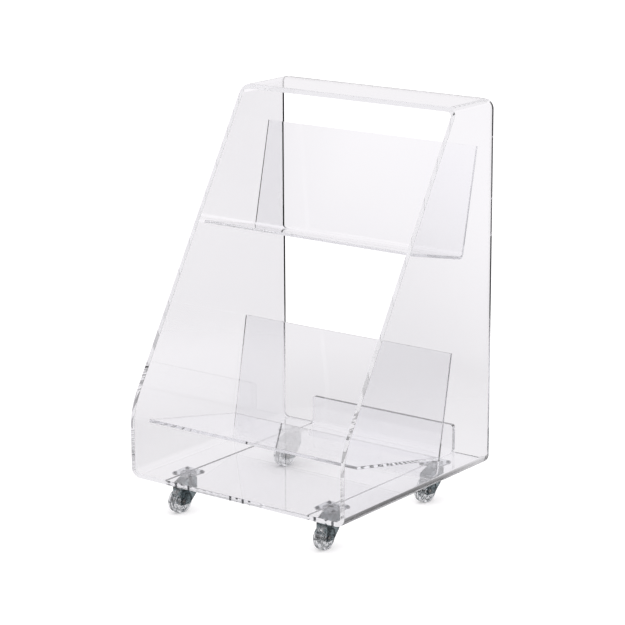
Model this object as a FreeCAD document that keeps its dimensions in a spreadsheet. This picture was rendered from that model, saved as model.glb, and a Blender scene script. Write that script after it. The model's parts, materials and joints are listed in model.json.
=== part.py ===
import FreeCAD, Part
import os
import Sketcher

# Rolling magazine rack of clear acrylic sheet on four small swivel casters.
# X is the width, Y the depth (the front is -Y), Z is up from the surface the wheels stand on.

doc = FreeCAD.newDocument("magazine_rack")
sheet = doc.addObject("Spreadsheet::Sheet", "Sizes")

sizes = {
    # the bent outer shell and its floor
    "overallWidth": 450,
    "overallDepth": 420,
    "shellHeight": 636,
    "casterHeight": 62,
    "shellThick": 8,
    "bendInside": 9,
    "topFrontSet": 102,
    "noseHeight": 119,
    "noseRounding": 120,
    "floorWidth": 300,
    "glueLine": 0.15,
    "upstandHeight": 58,
    "upstandCorner": 5,
    # the two leaning shelves
    "shelfThick": 5,
    "shelfBendInside": 5,
    "upperLean": 12.6,
    "upperDepthwise": 123.3,
    "upperRise": 382.8,
    "upperBackLength": 185,
    "upperLedgeLength": 142,
    "lowerLean": 10.9,
    "lowerDepthwise": 52.7,
    "lowerBackLength": 217,
    "lowerLedgeUp": 41.4,
    "lowerLedgeLength": 235,
    "footNotch": 12,
    # casters, measured from the swivel line and the surface the wheels stand on
    "casterAcross": 152,
    "casterAlong": 147,
    "plateSide": 42,
    "plateThick": 2,
    "plateCorner": 5,
    "screwPitch": 32,
    "screwRadius": 2.45,
    "screwHoleRadius": 2.7,
    "screwDepth": 6.4,
    "blindDepth": 7,
    "headRadius": 4.4,
    "headThick": 2.4,
    "pinRadius": 4,
    "pinFootRadius": 6,
    "pinFootThick": 2,
    "pinLength": 18,
    "pinFootRoom": 0.5,
    "pinFootDepthRoom": 0.4,
    "runningFit": 0.05,
    "ballRadius": 1.5,
    "ballCircle": 10,
    "ballRoom": 0.02,
    "cupRoom": 0.1,
    "cupInside": 12.2,
    "cupOutside": 14,
    "turntableRadius": 12.5,
    "turntableThick": 3.2,
    "turntableRoom": 0.4,
    "turntableOverlap": 2,
    "hoodWidth": 22,
    "cheekReach": 6,
    "cheekFront": 12.5,
    "cheekBrow": 7.5,
    "cheekBrowRise": 10,
    "shoulderFront": 9.5,
    "shoulderRise": 15,
    "shoulderRear": 10,
    "hoodRoofThick": 1.6,
    "roomFront": 6.8,
    "roomRise": 22,
    "roomRearRise": 16,
    "pinFootMargin": 1,
    "pocketWidth": 17.4,
    "pocketRadius": 22.2,
    "trail": 20,
    "wheelRadius": 21,
    "wheelWidth": 16,
    "treadRounding": 3,
    "dishRadius": 16,
    "dishInner": 7,
    "dishDepth": 4,
    "axleRadius": 2.5,
    "axleEnds": 0.6,
    "bushRadius": 4,
    "bushOverhang": 0.6,
    "washerRadius": 4.4,
    "washerThick": 1,
}
for row, (alias, number) in enumerate(sizes.items(), 1):
    sheet.set("A%d" % row, alias)
    sheet.set("B%d" % row, str(number))
    sheet.setAlias("B%d" % row, alias)
doc.recompute()

ballCount = 10
# name, side across, side along, turn of the caster at rest in degrees
casters = (
    ("front_left", -1, -1, -10),
    ("front_right", 1, -1, 0),
    ("rear_left", -1, 1, -15),
    ("rear_right", 1, 1, -8),
)
nodes = []


def bind(item, **expressions):
    # Bind each property to an expression on the sheet; a double underscore stands for a dot.
    for name, expression in expressions.items():
        item.setExpression(name.replace("__", "."), expression)


def newBody(label):
    body = doc.addObject("PartDesign::Body", label)
    body.Label = label
    nodes.append(body)
    return body


def originPlane(body, role):
    return [feature for feature in body.Origin.OriginFeatures if feature.Role == role][0]


def newSketch(body, name, role):
    sketch = body.newObject("Sketcher::SketchObject", name)
    sketch.AttachmentSupport = [(originPlane(body, role), "")]
    sketch.MapMode = "FlatFace"
    return sketch


def placePoint(sketch, index, point, across, up):
    # Hold one sketch point at two expressions measured from the sketch's origin.
    for kind, expression in (("DistanceX", across), ("DistanceY", up)):
        start = float(sketch.evalExpression(expression))
        number = sketch.addConstraint(Sketcher.Constraint(kind, -1, 1, index, point, start))
        sketch.setExpression("Constraints[%d]" % number, expression)


def addOutline(sketch, corners):
    # A closed outline of straight sides, each corner given by two expressions.
    first = sketch.GeometryCount
    places = [[float(sketch.evalExpression(text)) for text in corner] for corner in corners]
    points = [FreeCAD.Vector(across, up, 0) for across, up in places]
    count = len(points)
    for index in range(count):
        line = Part.LineSegment(points[index], points[(index + 1) % count])
        sketch.addGeometry(line, False)
    for index in range(count):
        following = first + (index + 1) % count
        sketch.addConstraint(Sketcher.Constraint("Coincident", first + index, 2, following, 1))
    for index, (across, up) in enumerate(corners):
        placePoint(sketch, first + index, 1, across, up)


def addCircle(sketch, radius, across="0", up="0"):
    centre = FreeCAD.Vector(float(sketch.evalExpression(across)), float(sketch.evalExpression(up)), 0)
    size = float(sketch.evalExpression(radius))
    index = sketch.addGeometry(Part.Circle(centre, FreeCAD.Vector(0, 0, 1), size), False)
    placePoint(sketch, index, 3, across, up)
    number = sketch.addConstraint(Sketcher.Constraint("Radius", index, size))
    sketch.setExpression("Constraints[%d]" % number, radius)


def addPad(body, name, sketch, length, symmetric=True, reverse=False):
    pad = body.newObject("PartDesign::Pad", name)
    pad.Profile = sketch
    pad.SideType = "Symmetric" if symmetric else "One side"
    pad.Reversed = reverse
    pad.setExpression("Length", length)
    doc.recompute()
    return pad


def addPocket(body, name, sketch, length=None, symmetric=True, reverse=False):
    # Cut by the sketch, right through unless a length is given, and insist that it removes something.
    before = body.Shape.Volume
    pocket = body.newObject("PartDesign::Pocket", name)
    pocket.Profile = sketch
    pocket.SideType = "Symmetric" if symmetric else "One side"
    pocket.Reversed = reverse
    pocket.Type = "Length" if length else "ThroughAll"
    if length:
        pocket.setExpression("Length", length)
    doc.recompute()
    if body.Shape.Volume > before - 1e-3:
        raise RuntimeError("%s cuts nothing from %s" % (name, body.Label))
    return pocket


def addRounding(body, name, radius, wanted):
    # Fillet every edge whose middle point and direction the test accepts.
    base = body.Tip
    chosen = []
    for number, edge in enumerate(base.Shape.Edges, 1):
        middle = edge.valueAt((edge.FirstParameter + edge.LastParameter) / 2)
        along = edge.tangentAt((edge.FirstParameter + edge.LastParameter) / 2)
        if wanted(middle, along):
            chosen.append("Edge%d" % number)
    if not chosen:
        raise RuntimeError("%s finds no edge on %s" % (name, body.Label))
    fillet = body.newObject("PartDesign::Fillet", name)
    fillet.Base = (base, chosen)
    fillet.setExpression("Radius", radius)
    doc.recompute()
    return fillet


def cell(alias):
    return float(sheet.get(alias))


# ---- acrylic sheets ----

def makeShell():
    # One sheet folded into a C that is open downwards in the middle, then cut to the sloping front.
    body = newBody("shell")
    half = "Sizes.overallWidth / 2"
    inner = "(Sizes.overallWidth / 2 - Sizes.shellThick)"
    low = "Sizes.casterHeight"
    high = "Sizes.casterHeight + Sizes.shellHeight"
    lip = "Sizes.floorWidth / 2"
    section = newSketch(body, "shellSection", "XZ_Plane")
    addOutline(section, (
        ("-" + lip, low),
        ("-" + half, low),
        ("-" + half, high),
        (half, high),
        (half, low),
        (lip, low),
        (lip, low + " + Sizes.shellThick"),
        (inner, low + " + Sizes.shellThick"),
        (inner, high + " - Sizes.shellThick"),
        ("-" + inner, high + " - Sizes.shellThick"),
        ("-" + inner, low + " + Sizes.shellThick"),
        ("-" + lip, low + " + Sizes.shellThick"),
    ))
    addPad(body, "shellPad", section, "Sizes.overallDepth")
    wall = cell("overallWidth") / 2
    inside = wall - cell("shellThick")
    addRounding(body, "innerBends", "Sizes.bendInside",
                lambda middle, along: abs(along.y) > 0.9 and abs(abs(middle.x) - inside) < 0.01)
    addRounding(body, "outerBends", "Sizes.bendInside + Sizes.shellThick",
                lambda middle, along: abs(along.y) > 0.9 and abs(abs(middle.x) - wall) < 0.01
                and min(abs(middle.z - cell("casterHeight")),
                        abs(middle.z - cell("casterHeight") - cell("shellHeight"))) < 0.01)
    front = "-Sizes.overallDepth / 2"
    profile = newSketch(body, "frontSlope", "YZ_Plane")
    addOutline(profile, (
        (front + " - 1", low + " + Sizes.noseHeight"),
        (front, low + " + Sizes.noseHeight"),
        ("Sizes.topFrontSet", high),
        ("Sizes.topFrontSet", high + " + 1"),
        (front + " - 1", high + " + 1"),
    ))
    addPocket(body, "slopeCut", profile)
    nose = cell("casterHeight") + cell("noseHeight")
    addRounding(body, "noseRounds", "Sizes.noseRounding",
                lambda middle, along: abs(along.x) > 0.9 and abs(middle.z - nose) < 0.5
                and middle.y < -cell("overallDepth") / 2 + 0.5)
    holes = newSketch(body, "screwHoles", "XY_Plane")
    addScrewHoles(holes, "(Sizes.casterAcross + Sizes.screwPitch / 2)")
    holes.setExpression("AttachmentOffset.Base.z", low)
    addPocket(body, "screwPockets", holes, "Sizes.blindDepth", symmetric=False, reverse=True)


def addScrewHoles(sketch, across):
    # Eight blind holes, two per caster, on both sides of the rack.
    for side in ("", "-"):
        for end in ("", "-"):
            for step in (" - ", " + "):
                along = "%s(Sizes.casterAlong%sSizes.screwPitch / 2)" % (end, step)
                addCircle(sketch, "Sizes.screwRadius", side + across, along)


def makeFloorPanel():
    # The middle of the floor, turned up at the rear into a low stop.
    body = newBody("floor_panel")
    low = "Sizes.casterHeight"
    back = "Sizes.overallDepth / 2"
    section = newSketch(body, "floorSection", "YZ_Plane")
    addOutline(section, (
        ("-" + back, low),
        (back, low),
        (back, low + " + Sizes.upstandHeight"),
        (back + " - Sizes.shellThick", low + " + Sizes.upstandHeight"),
        (back + " - Sizes.shellThick", low + " + Sizes.shellThick"),
        ("-" + back, low + " + Sizes.shellThick"),
    ))
    addPad(body, "floorPad", section, "Sizes.floorWidth - 2 * Sizes.glueLine")
    rear = cell("overallDepth") / 2
    base = cell("casterHeight")
    addRounding(body, "innerBend", "Sizes.bendInside",
                lambda middle, along: abs(along.x) > 0.9
                and abs(middle.y - rear + cell("shellThick")) < 0.01
                and abs(middle.z - base - cell("shellThick")) < 0.01)
    addRounding(body, "outerBend", "Sizes.bendInside + Sizes.shellThick",
                lambda middle, along: abs(along.x) > 0.9 and abs(middle.y - rear) < 0.01
                and abs(middle.z - base) < 0.01)
    addRounding(body, "upstandCorners", "Sizes.upstandCorner",
                lambda middle, along: abs(along.y) > 0.9
                and abs(middle.z - base - cell("upstandHeight")) < 0.01)
    holes = newSketch(body, "screwHoles", "XY_Plane")
    addScrewHoles(holes, "(Sizes.casterAcross - Sizes.screwPitch / 2)")
    holes.setExpression("AttachmentOffset.Base.z", low)
    addPocket(body, "screwPockets", holes, "Sizes.blindDepth", symmetric=False, reverse=True)


def leanBack(body, angle, depthwise, rise):
    # Tip a shelf back about its inner corner line, which runs along X.
    body.Placement = FreeCAD.Placement(FreeCAD.Vector(), FreeCAD.Rotation(FreeCAD.Vector(1, 0, 0), -1))
    bind(body, Placement__Rotation__Angle=angle,
         Placement__Base__y=depthwise,
         Placement__Base__z=rise)


def makeUpperShelf():
    # An L bent from one sheet: its back panel leans and its ledge tips up in front.
    body = newBody("upper_shelf")
    section = newSketch(body, "shelfSection", "YZ_Plane")
    thick = "Sizes.shelfThick"
    addOutline(section, (
        ("0", "0"),
        ("0", "Sizes.upperBackLength"),
        (thick, "Sizes.upperBackLength"),
        (thick, "-" + thick),
        ("-Sizes.upperLedgeLength", "-" + thick),
        ("-Sizes.upperLedgeLength", "0"),
    ))
    addPad(body, "shelfPad", section, "Sizes.overallWidth - 2 * Sizes.shellThick")
    addRounding(body, "innerBend", "Sizes.shelfBendInside",
                lambda middle, along: abs(along.x) > 0.9 and abs(middle.y) < 0.01
                and abs(middle.z) < 0.01)
    addRounding(body, "outerBend", "Sizes.shelfBendInside + Sizes.shelfThick",
                lambda middle, along: abs(along.x) > 0.9
                and abs(middle.y - cell("shelfThick")) < 0.01
                and abs(middle.z + cell("shelfThick")) < 0.01)
    leanBack(body, "-Sizes.upperLean", "Sizes.upperDepthwise", "Sizes.casterHeight + Sizes.upperRise")


def makeLowerBackPanel():
    # A flat panel with its foot on the floor, notched to clear the bends beside it.
    body = newBody("lower_back_panel")
    half = "(Sizes.overallWidth / 2 - Sizes.shellThick)"
    outline = newSketch(body, "panelOutline", "XZ_Plane")
    addOutline(outline, (
        ("-" + half + " + Sizes.footNotch", "0"),
        (half + " - Sizes.footNotch", "0"),
        (half, "Sizes.footNotch"),
        (half, "Sizes.lowerBackLength"),
        ("-" + half, "Sizes.lowerBackLength"),
        ("-" + half, "Sizes.footNotch"),
    ))
    addPad(body, "panelPad", outline, "Sizes.shelfThick", symmetric=False, reverse=True)
    lean = "Sizes.lowerLean * 1deg"
    leanBack(body, "-Sizes.lowerLean",
             "Sizes.lowerDepthwise + Sizes.shelfThick * sin(%s) * tan(%s)" % (lean, lean),
             "Sizes.casterHeight + Sizes.shellThick + Sizes.shelfThick * sin(%s)" % lean)


def makeLowerLedge():
    # A flat ledge glued square to the front of the lower back panel.
    body = newBody("lower_ledge")
    half = "(Sizes.overallWidth / 2 - Sizes.shellThick)"
    section = newSketch(body, "ledgeOutline", "XY_Plane")
    addOutline(section, (
        ("-" + half, "-Sizes.lowerLedgeLength"),
        (half, "-Sizes.lowerLedgeLength"),
        (half, "0"),
        ("-" + half, "0"),
    ))
    addPad(body, "ledgePad", section, "Sizes.shelfThick", symmetric=False, reverse=True)
    leanBack(body, "-Sizes.lowerLean",
             "Sizes.lowerDepthwise + Sizes.lowerLedgeUp * sin(Sizes.lowerLean * 1deg)",
             "Sizes.casterHeight + Sizes.shellThick + Sizes.lowerLedgeUp * cos(Sizes.lowerLean * 1deg)")


# ---- casters: each is made about its swivel line, facing front, then turned and placed ----

def placeCaster(item, side, end, turn):
    item.Placement = FreeCAD.Placement(
        FreeCAD.Vector(side * cell("casterAcross"), end * cell("casterAlong"), 0),
        FreeCAD.Rotation(FreeCAD.Vector(0, 0, 1), turn))
    bind(item, Placement__Base__x="%d * Sizes.casterAcross" % side,
         Placement__Base__y="%d * Sizes.casterAlong" % end)


def newGroup(label, items):
    # Separate solids that share one node.
    group = doc.addObject("Part::Compound", label)
    group.Label = label
    group.Links = items
    nodes.append(group)
    return group


def newCylinder(radius, height, x="0", y="0", z="0"):
    solid = doc.addObject("Part::Cylinder", "turned")
    bind(solid, Radius=radius, Height=height,
         Placement__Base__x=x, Placement__Base__y=y, Placement__Base__z=z)
    return solid


def joined(first, second):
    solid = doc.addObject("Part::Fuse", "joined")
    solid.Base = first
    solid.Tool = second
    return solid


def newTube(outer, inner, height, z):
    # A ring about the swivel line.
    solid = doc.addObject("Part::Cut", "tube")
    solid.Base = newCylinder(outer, height, z=z)
    solid.Tool = newCylinder(inner, height, z=z)
    return solid


def makePlate(name):
    # A square plate with a screw hole near each corner and the pin's hole in the middle.
    body = newBody("caster_plate_" + name)
    outline = newSketch(body, "plateOutline", "XY_Plane")
    edge = "Sizes.plateSide / 2"
    addOutline(outline, (("-" + edge, "-" + edge), (edge, "-" + edge), (edge, edge), ("-" + edge, edge)))
    outline.setExpression("AttachmentOffset.Base.z", "Sizes.casterHeight - Sizes.plateThick")
    addPad(body, "platePad", outline, "Sizes.plateThick", symmetric=False)
    addRounding(body, "plateCorners", "Sizes.plateCorner", lambda middle, along: abs(along.z) > 0.9)
    holes = newSketch(body, "plateHoles", "XY_Plane")
    for side in ("", "-"):
        for end in ("", "-"):
            addCircle(holes, "Sizes.screwHoleRadius", side + "Sizes.screwPitch / 2",
                      end + "Sizes.screwPitch / 2")
    addCircle(holes, "Sizes.pinRadius + Sizes.runningFit / 2")
    addPocket(body, "plateCuts", holes)
    return body


def makeScrews(name):
    # Four screws up through the plate: a head below it and a shank into the acrylic.
    screws = []
    under = "Sizes.casterHeight - Sizes.plateThick"
    for side in ("", "-"):
        for end in ("", "-"):
            x = side + "Sizes.screwPitch / 2"
            y = end + "Sizes.screwPitch / 2"
            head = newCylinder("Sizes.headRadius", "Sizes.headThick", x, y, under + " - Sizes.headThick")
            shank = newCylinder("Sizes.screwRadius - Sizes.runningFit",
                                "Sizes.plateThick + Sizes.screwDepth", x, y, under)
            screws.append(joined(head, shank))
    return newGroup("plate_screws_" + name, screws)


def makeKingpin(name):
    # The pin is held in the plate, and its foot holds the hood up.
    foot = "Sizes.casterHeight - Sizes.pinLength"
    shaft = newCylinder("Sizes.pinRadius", "Sizes.pinLength", z=foot)
    flange = newCylinder("Sizes.pinFootRadius", "Sizes.pinFootThick", z=foot)
    pin = joined(shaft, flange)
    pin.Label = "kingpin_" + name
    nodes.append(pin)
    return pin


def makeBalls(name):
    # A ring of loose balls that the hood runs on.
    balls = []
    middle = "Sizes.casterHeight - Sizes.plateThick - Sizes.ballRoom - Sizes.ballRadius"
    for index in range(ballCount):
        ball = doc.addObject("Part::Sphere", "ball")
        turn = "%d * 360deg / %d" % (index, ballCount)
        bind(ball, Radius="Sizes.ballRadius",
             Placement__Base__x="Sizes.ballCircle * cos(%s)" % turn,
             Placement__Base__y="Sizes.ballCircle * sin(%s)" % turn,
             Placement__Base__z=middle)
        balls.append(ball)
    return newGroup("bearing_balls_" + name, balls)


def makeCup(name):
    # The cup hangs under the plate, round the balls and the turntable.
    height = "Sizes.ballRadius * 2 + Sizes.cupRoom"
    cup = newTube("Sizes.cupOutside", "Sizes.cupInside", height,
                  "Sizes.casterHeight - Sizes.plateThick - (%s)" % height)
    cup.Label = "bearing_cup_" + name
    nodes.append(cup)
    return cup


def makeHood(name):
    # Seen from the side the hood runs back from the axle to the swivel line, and both cheeks
    # leave the lower front of the wheel bare.
    body = newBody("hood_" + name)
    top = "Sizes.casterHeight - Sizes.plateThick - 2 * Sizes.ballRadius - Sizes.turntableRoom"
    shoulder = top + " - Sizes.turntableThick"
    cheek = newSketch(body, "cheekOutline", "YZ_Plane")
    addOutline(cheek, (
        ("-Sizes.trail - Sizes.cheekReach", "Sizes.wheelRadius - Sizes.cheekReach"),
        ("-Sizes.trail + Sizes.cheekFront", "Sizes.wheelRadius - Sizes.cheekReach"),
        ("Sizes.cheekBrow", "Sizes.wheelRadius + Sizes.cheekBrowRise"),
        ("Sizes.shoulderFront", "Sizes.wheelRadius + Sizes.shoulderRise"),
        ("Sizes.shoulderFront", shoulder),
        ("-Sizes.shoulderRear", shoulder),
        ("-Sizes.trail - Sizes.cheekReach", "Sizes.wheelRadius + Sizes.pocketRadius + Sizes.hoodRoofThick"),
    ))
    addPad(body, "cheekPad", cheek, "Sizes.hoodWidth")
    turntable = newSketch(body, "turntable", "XY_Plane")
    addCircle(turntable, "Sizes.turntableRadius")
    turntable.setExpression("AttachmentOffset.Base.z", top)
    addPad(body, "turntablePad", turntable, "Sizes.turntableThick + Sizes.turntableOverlap",
           symmetric=False, reverse=True)
    room = newSketch(body, "wheelRoom", "YZ_Plane")
    addCircle(room, "Sizes.pocketRadius", "-Sizes.trail", "Sizes.wheelRadius")
    addPocket(body, "wheelPocket", room, "Sizes.pocketWidth")
    rear = newSketch(body, "rearRoom", "YZ_Plane")
    addOutline(rear, (
        ("-Sizes.trail", "0"),
        ("Sizes.roomFront", "0"),
        ("Sizes.roomFront", "Sizes.wheelRadius + Sizes.roomRise"),
        ("-Sizes.pinFootRadius - Sizes.pinFootMargin", "Sizes.wheelRadius + Sizes.roomRise"),
        ("-Sizes.trail", "Sizes.wheelRadius + Sizes.roomRearRise"),
    ))
    addPocket(body, "rearPocket", rear, "Sizes.pocketWidth")
    bore = newSketch(body, "pinBore", "XY_Plane")
    addCircle(bore, "Sizes.pinRadius + Sizes.runningFit")
    addPocket(body, "pinPocket", bore)
    well = newSketch(body, "pinFootRoom", "XY_Plane")
    addCircle(well, "Sizes.pinFootRadius + Sizes.pinFootRoom")
    wellTop = "Sizes.casterHeight - Sizes.pinLength + Sizes.pinFootThick + Sizes.pinFootDepthRoom"
    addPocket(body, "pinFootPocket", well, wellTop, symmetric=False, reverse=True)
    axle = newSketch(body, "axleHole", "YZ_Plane")
    addCircle(axle, "Sizes.axleRadius + Sizes.runningFit / 2", "-Sizes.trail", "Sizes.wheelRadius")
    addPocket(body, "axlePocket", axle)
    return body


def sideways(body, name, outer, length, inner=None):
    # A round piece about the axle, centred on the wheel's middle plane.
    ring = newSketch(body, name + "Ring", "YZ_Plane")
    addCircle(ring, outer, "-Sizes.trail", "Sizes.wheelRadius")
    if inner:
        addCircle(ring, inner, "-Sizes.trail", "Sizes.wheelRadius")
    return addPad(body, name + "Pad", ring, length)


def makeAxle(name):
    body = newBody("axle_" + name)
    sideways(body, "axle", "Sizes.axleRadius",
             "Sizes.hoodWidth + 2 * Sizes.washerThick + Sizes.axleEnds")
    return body


def makeAxleWashers(name):
    washers = []
    for side in (-1, 1):
        washer = doc.addObject("Part::Cut", "washer")
        washer.Base = newCylinder("Sizes.washerRadius", "Sizes.washerThick")
        washer.Tool = newCylinder("Sizes.axleRadius + Sizes.runningFit / 2", "Sizes.washerThick")
        washer.Placement.Rotation = FreeCAD.Rotation(FreeCAD.Vector(0, 1, 0), 90)
        start = "Sizes.hoodWidth / 2" if side > 0 else "-Sizes.hoodWidth / 2 - Sizes.washerThick"
        bind(washer, Placement__Base__x=start, Placement__Base__y="-Sizes.trail",
             Placement__Base__z="Sizes.wheelRadius")
        washers.append(washer)
    return newGroup("axle_washers_" + name, washers)


def makeWheel(name):
    body = newBody("wheel_" + name)
    sideways(body, "wheel", "Sizes.wheelRadius", "Sizes.wheelWidth", "Sizes.bushRadius + Sizes.runningFit / 2")
    rim = cell("wheelRadius")
    addRounding(body, "treadRounds", "Sizes.treadRounding",
                lambda middle, along: abs(along.x) < 0.1
                and abs((middle.y + cell("trail")) ** 2 + (middle.z - rim) ** 2 - rim ** 2) < 0.1)
    for side in ("", "-"):
        dish = newSketch(body, "dish", "YZ_Plane")
        addCircle(dish, "Sizes.dishRadius", "-Sizes.trail", "Sizes.wheelRadius")
        addCircle(dish, "Sizes.dishInner", "-Sizes.trail", "Sizes.wheelRadius")
        dish.setExpression("AttachmentOffset.Base.z", side + "Sizes.wheelWidth / 2")
        addPocket(body, "dishPocket", dish, "Sizes.dishDepth", symmetric=False, reverse=side == "-")
    return body


def makeWheelBush(name):
    body = newBody("wheel_bush_" + name)
    sideways(body, "bush", "Sizes.bushRadius", "Sizes.wheelWidth + Sizes.bushOverhang",
             "Sizes.axleRadius + Sizes.runningFit")
    return body


makeShell()
makeFloorPanel()
makeUpperShelf()
makeLowerBackPanel()
makeLowerLedge()
for casterName, casterSide, casterEnd, casterTurn in casters:
    for make in (makePlate, makeScrews, makeKingpin, makeBalls, makeCup):
        placeCaster(make(casterName), casterSide, casterEnd, 0)
    for make in (makeHood, makeAxle, makeAxleWashers, makeWheel, makeWheelBush):
        placeCaster(make(casterName), casterSide, casterEnd, casterTurn)
doc.recompute()

for item in doc.Objects:
    if "Invalid" in item.State or "Error" in item.State:
        raise RuntimeError("%s failed: %s" % (item.Label, item.State))
for node in nodes:
    if node.Shape.isNull() or not node.Shape.isValid():
        raise RuntimeError("%s has no valid shape" % node.Label)

os.makedirs("parts", exist_ok=True)
for node in nodes:
    node.Shape.exportStep("parts/%s.step" % node.Label)
print("%d nodes written" % len(nodes))
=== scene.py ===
import json
import math

import bmesh
import bpy
from mathutils import Matrix, Vector


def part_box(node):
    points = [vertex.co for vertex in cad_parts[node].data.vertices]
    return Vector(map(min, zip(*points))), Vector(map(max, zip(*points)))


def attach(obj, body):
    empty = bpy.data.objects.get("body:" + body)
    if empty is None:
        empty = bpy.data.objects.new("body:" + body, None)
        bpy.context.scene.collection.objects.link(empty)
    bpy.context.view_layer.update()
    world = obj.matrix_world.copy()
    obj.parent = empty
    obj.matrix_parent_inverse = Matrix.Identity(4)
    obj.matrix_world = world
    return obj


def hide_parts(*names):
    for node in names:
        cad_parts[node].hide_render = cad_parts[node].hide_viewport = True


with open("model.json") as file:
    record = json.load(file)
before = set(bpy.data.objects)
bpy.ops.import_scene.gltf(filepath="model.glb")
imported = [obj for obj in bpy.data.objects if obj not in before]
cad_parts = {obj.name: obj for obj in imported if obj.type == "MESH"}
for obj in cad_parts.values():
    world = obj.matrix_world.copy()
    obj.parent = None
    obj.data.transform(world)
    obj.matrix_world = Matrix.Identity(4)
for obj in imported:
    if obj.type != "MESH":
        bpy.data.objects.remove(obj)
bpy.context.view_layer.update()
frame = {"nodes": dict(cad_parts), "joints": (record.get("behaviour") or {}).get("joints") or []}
mm = 0.001
casterNames = ("front_left", "front_right", "rear_left", "rear_right")
joints = {joint["name"]: joint for joint in frame["joints"]}
print("frame loaded:", len(frame["nodes"]), "nodes")


def linearColor(code, alpha=1.0):
    # sRGB hex to the linear values that shaders take
    parts = [int(code[i:i + 2], 16) / 255 for i in (1, 3, 5)]
    return tuple(p / 12.92 if p <= 0.04045 else ((p + 0.055) / 1.055) ** 2.4 for p in parts) + (alpha,)


def addNode(tree, kind, settings=None, links=None, **values):
    # one node with its settings, its plain socket values and what is linked into it
    node = tree.nodes.new(kind)
    for key, value in (settings or {}).items():
        setattr(node, key, value)
    for key, value in values.items():
        node.inputs[key.replace("_", " ")].default_value = value
    for key, source in (links or {}).items():
        tree.links.new(source, node.inputs[key])
    return node


def setInputs(node, values):
    for key, value in values.items():
        node.inputs[key].default_value = value


# Camera, floor and light

cameraView = {"target": (3.514, 0, 341.33), "distance": 4052.4, "azimuth": 37.239, "elevation": 14.422,
              "roll": -0.257, "lens": 138.349, "sensor": 36, "near": 0.1, "far": 60}


def makeCamera():
    azimuth = math.radians(cameraView["azimuth"])
    elevation = math.radians(cameraView["elevation"])
    roll = math.radians(cameraView["roll"])
    back = Vector((math.sin(azimuth) * math.cos(elevation), -math.cos(azimuth) * math.cos(elevation),
                   math.sin(elevation)))
    level = Vector((math.cos(azimuth), math.sin(azimuth), 0))
    above = back.cross(level)
    right = level * math.cos(roll) + above * math.sin(roll)
    up = above * math.cos(roll) - level * math.sin(roll)
    data = bpy.data.cameras.new("camera")
    data.lens = cameraView["lens"]
    data.sensor_width = cameraView["sensor"]
    data.clip_start = cameraView["near"]
    data.clip_end = cameraView["far"]
    camera = bpy.data.objects.new("camera", data)
    turn = Matrix((right, up, back)).transposed()
    place = Vector(cameraView["target"]) * mm + back * cameraView["distance"] * mm
    camera.matrix_world = Matrix.Translation(place) @ turn.to_4x4()
    bpy.context.scene.collection.objects.link(camera)
    bpy.context.scene.camera = camera


makeCamera()

# metres for the floor and lamp; the other limits are parts of a unit direction, heights among them
studio = {"white": "#FFFDFF", "backdrop": 1.0, "dark": 0.005,
          "cardTilt": 0.6, "cardFrom": 0.125, "cardTo": 0.225, "cardLevel": 0.9,
          "sideCard": (0.809, -0.588, 0), "sideFrom": -0.045, "sideTo": 0.0, "sideLow": 0.12,
          "sideHigh": 0.19, "sideInFront": -0.3,
          "belowFrom": -0.31, "belowTo": -0.255, "aheadFrom": 0.0, "aheadTo": 0.3, "tableLevel": 0.95,
          "scatterWeight": 1000, "mirrorFrom": 0.5}

floorPaper = {"radius": 9.0, "sides": 96, "fadeFrom": 0.45, "fadeTo": 1.15, "lift": 0.3, "reach": 2.5,
              # the paper's colour by distance: painted shade that darkens it close to the rack
              "paintedShadeTones": ((0.0, 0.84), (0.36, 0.84), (0.58, 0.815), (0.75, 0.845), (1.05, 0.91), (1.5, 0.935),
                        (2.3, 0.965)),
              # shadeFrom, shadeTo, shadeDepth: painted shade under the rack in what the edges mirror
              "shadeFrom": 0.18, "shadeTo": 0.46, "shadeDepth": 0.15}

topLamp = {"place": (0.6, -0.4, 2.6), "aim": (0, 0, 0.3), "wide": 2.4, "deep": 2.0, "energy": 6}


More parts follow.
